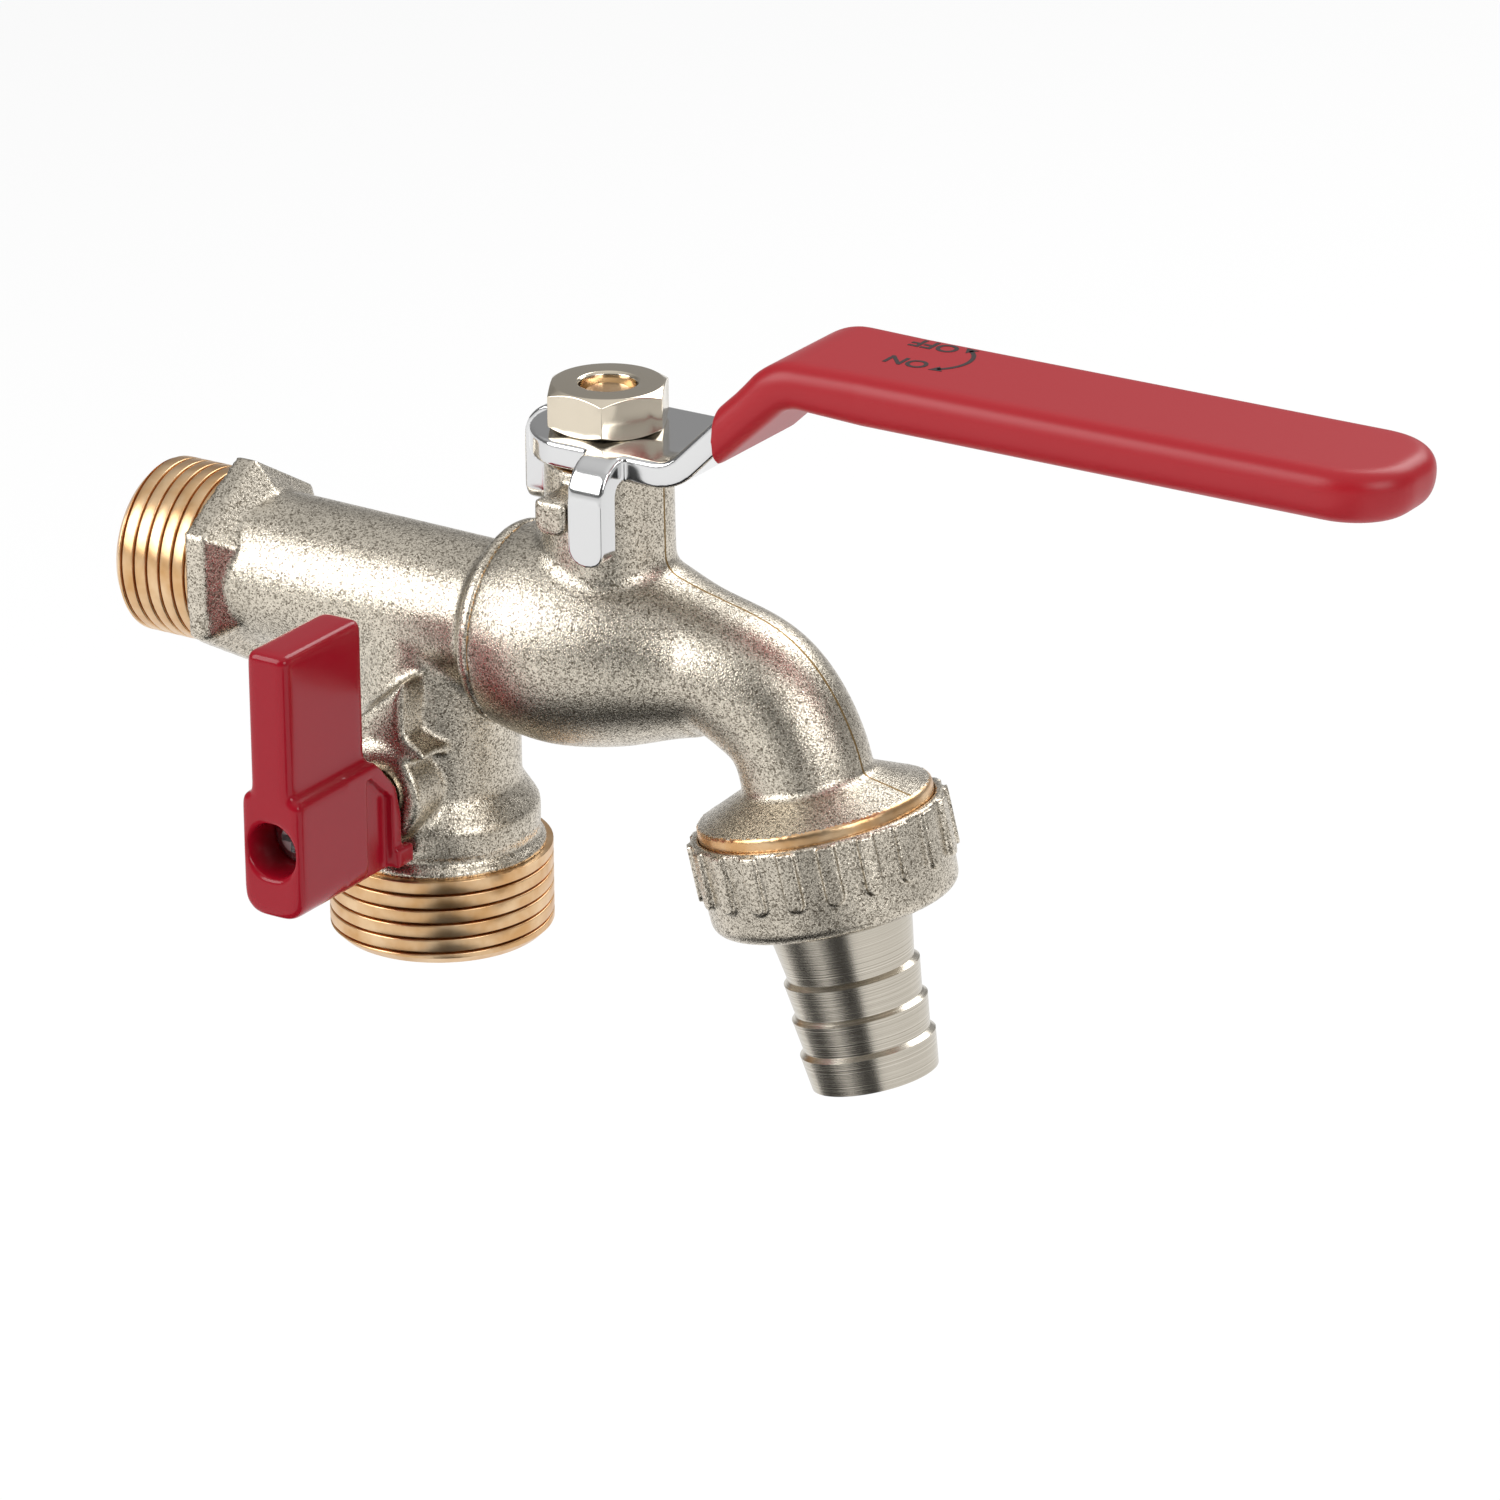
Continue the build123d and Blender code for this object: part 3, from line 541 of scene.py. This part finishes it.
# Lever nut: a nickel plated hexagon nut on the stem's threaded end.
# Both faces are chamfered where the hexagon's corners are turned off.
def bevel(piece, width, steps, angle):
    """Rounds a piece's edges that are sharper than an angle."""
    edge = piece.modifiers.new("edge", "BEVEL")
    edge.limit_method = "ANGLE"
    edge.angle_limit = radians(angle)
    edge.width = width
    edge.segments = steps
    edge.use_clamp_overlap = True
    pick(piece, lambda spot: True)
    bpy.ops.mesh.dissolve_limited(angle_limit=radians(1))
    bpy.ops.object.mode_set(mode="OBJECT")
    bpy.ops.object.modifier_apply(modifier="edge")
    bpy.ops.object.shade_smooth_by_angle(angle=radians(45))


nut = copy_of("lever_nut", "lever_hexagon_nut", "lever")
bevel(nut, width=0.3 * mm, steps=3, angle=25)
paint(nut, bright_nickel)


# Hose tail and gasket: a turned brass tail, nickel plated, whose barbs grip a hose.
# A flat rubber gasket seals its flange to the spout's rim.
dress(seal_rubber, "hose_gasket")

# Turned nickel plate: satin grey, with the lathe's rings round the tail under the plating.
lathe_mark = 0.16 * mm
turned_nickel, tree, shader = new_material("turned_nickel_plate")
place = add(tree, "ShaderNodeTexCoord", {}).outputs["Object"]
along = add(tree, "ShaderNodeVectorMath", {0: place, 1: outlet_way}, operation="DOT_PRODUCT")
rings = add(tree, "ShaderNodeTexNoise",
            {"W": along.outputs["Value"], "Scale": 1 / lathe_mark,
             "Detail": 2.0, "Roughness": 0.6}, noise_dimensions="1D")
tone = add(tree, "ShaderNodeValToRGB", {"Fac": rings.outputs["Fac"]})
tone.color_ramp.elements[0].position = 0.3
tone.color_ramp.elements[0].color = linear("#B0A99C")
tone.color_ramp.elements[1].position = 0.7
tone.color_ramp.elements[1].color = linear("#D6CFC2")
relief = add(tree, "ShaderNodeBump",
             {"Height": rings.outputs["Fac"], "Strength": 1.0, "Distance": 0.012 * mm})
tree.links.new(tone.outputs["Color"], shader.inputs["Base Color"])
tree.links.new(relief.outputs["Normal"], shader.inputs["Normal"])
shader.inputs["Metallic"].default_value = 1.0
shader.inputs["Roughness"].default_value = 0.24
dress(turned_nickel, "hose_tail")


# Union nut: a forged brass ring nut, blasted and plated, with finger ribs round its upper half.
# It turns freely and draws the tail's flange up to the spout.
union = copy_of("union_nut", "ribbed_union_nut", "union")
soften(union, facet=0.2 * mm, passes=2)
paint(union, blasted_nickel)


# Studio: a white floor well under the tap, a grey surround, three soft lamps and two dark cards.
# The cards are painted shade that shows only in reflections, where they give the metal its dark
# streaks: one stands for the unlit camera side of the floor, one for the shade under and in front
# of the tap.
# The camera stands where the photograph was taken from.
scene = bpy.context.scene
scene.view_settings.view_transform = "Standard"

# White floor: matt paper that the lens and the reflections see lifted towards pure white.
white_share = 0.75
white_floor, tree, shader = new_material("white_floor")
shader.inputs["Base Color"].default_value = linear("#F2F2F2")
shader.inputs["Roughness"].default_value = 0.9
path = add(tree, "ShaderNodeLightPath", {})
seen = add(tree, "ShaderNodeMath",
           {0: path.outputs["Is Camera Ray"], 1: path.outputs["Is Glossy Ray"]},
           operation="MAXIMUM")
seen = add(tree, "ShaderNodeMath",
           {0: seen.outputs["Value"], 1: path.outputs["Is Transmission Ray"]},
           operation="MAXIMUM")
share = add(tree, "ShaderNodeMath",
            {0: seen.outputs["Value"], 1: white_share}, operation="MULTIPLY")
white = add(tree, "ShaderNodeEmission", {"Color": (1, 1, 1, 1), "Strength": 1.0})
blend = add(tree, "ShaderNodeMixShader", {"Fac": share.outputs["Value"]})
tree.links.new(shader.outputs["BSDF"], blend.inputs[1])
tree.links.new(white.outputs["Emission"], blend.inputs[2])
tree.links.new(blend.outputs["Shader"], tree.nodes["Material Output"].inputs["Surface"])
bpy.ops.object.select_all(action="DESELECT")
floor_z = -150 * mm
bpy.ops.mesh.primitive_plane_add(size=6.0, location=(0.07, 0, floor_z))
floor = bpy.context.object
floor.name = "floor"
floor.data.materials.append(white_floor)

# Dark grey card: matt board, the finish of the painted shade cards.
painted_shade_board, _, shader = new_material("painted_shade_card")
shader.inputs["Base Color"].default_value = linear("#161616")
shader.inputs["Roughness"].default_value = 0.9


def card(name, width, depth, centre, turn):
    """Dark card on the floor that only reflections show, as painted shade."""
    bpy.ops.object.select_all(action="DESELECT")
    bpy.ops.mesh.primitive_plane_add(size=1.0)
    made = bpy.context.object
    made.name = name
    bpy.ops.object.mode_set(mode="EDIT")
    bpy.ops.transform.resize(value=(width, depth, 1), center_override=(0, 0, 0))
    bpy.ops.object.mode_set(mode="OBJECT")
    made.data.transform(Matrix.Translation(centre) @ Matrix.Rotation(turn, 4, "Z"))
    made.data.materials.append(painted_shade_board)
    made.visible_camera = False
    made.visible_diffuse = False
    made.visible_shadow = False
    return made


lens_turn = radians(34)
lens_way = Vector((sin(lens_turn), -cos(lens_turn), 0))
# Painted shade for reflections: a long card out on the camera's side, and a card under the tap
# where its shade lies.
lens_side = Vector((0.06, 0, floor_z + 1 * mm)) + lens_way * 0.42
under_tap = Vector((0.055, -0.08, floor_z + 2 * mm))
painted_shade_lens_card = card("painted_shade_lens_card", width=0.16, depth=0.62, centre=lens_side, turn=lens_turn)
painted_shadow_under_card = card("painted_shadow_under_card", width=0.23, depth=0.15, centre=under_tap, turn=0)

# Studio surround: grey, darker on the camera's side and brightest overhead.
world = bpy.data.worlds.new("studio_surround")
scene.world = world
world.use_nodes = True
tree = world.node_tree
around = add(tree, "ShaderNodeTexCoord", {}).outputs["Generated"]
way = add(tree, "ShaderNodeSeparateXYZ", {"Vector": around})
side = add(tree, "ShaderNodeMapRange",
           {"Value": way.outputs["Y"], "From Min": -0.7, "From Max": 0.8,
            "To Min": 0.1, "To Max": 0.34})
top = add(tree, "ShaderNodeMapRange",
          {"Value": way.outputs["Z"], "From Min": 0.45, "From Max": 1.0,
           "To Min": 0.0, "To Max": 0.7})
sky = add(tree, "ShaderNodeMath",
          {0: side.outputs["Result"], 1: top.outputs["Result"]}, operation="ADD")
tree.nodes["Background"].inputs["Color"].default_value = (1, 1, 1, 1)
tree.links.new(sky.outputs["Value"], tree.nodes["Background"].inputs["Strength"])


def lamp(name, place, target, size, power):
    """Square soft lamp that looks at a point."""
    light = bpy.data.lights.new(name, "AREA")
    light.shape = "SQUARE"
    light.size = size
    light.energy = power
    made = bpy.data.objects.new(name, light)
    scene.collection.objects.link(made)
    made.location = place
    made.rotation_euler = (Vector(target) - Vector(place)).to_track_quat("-Z", "Y").to_euler()


tap_middle = (0.07, 0, 0)
lamp("key_lamp", (-0.45, -0.66, 0.42), tap_middle, size=0.65, power=6.5)
lamp("fill_lamp", (0.9, -0.3, 0.45), tap_middle, size=0.5, power=3.5)
lamp("back_lamp", (0.15, 0.75, 0.7), tap_middle, size=0.6, power=5)

sight = bpy.data.cameras.new("photo_camera")
sight.lens = 175.8
sight.sensor_width = 36.0
sight.sensor_fit = "HORIZONTAL"
sight.clip_start = 0.01
camera = bpy.data.objects.new("photo_camera", sight)
scene.collection.objects.link(camera)
camera.location = Vector((485.0, -649.7, 300.1)) * mm
aim = Vector((70.97, 0, -9.41)) * mm - camera.location
roll = Matrix.Rotation(radians(-0.335), 4, "Z")
camera.rotation_euler = (aim.to_track_quat("-Z", "Y").to_matrix().to_4x4() @ roll).to_euler()
scene.camera = camera
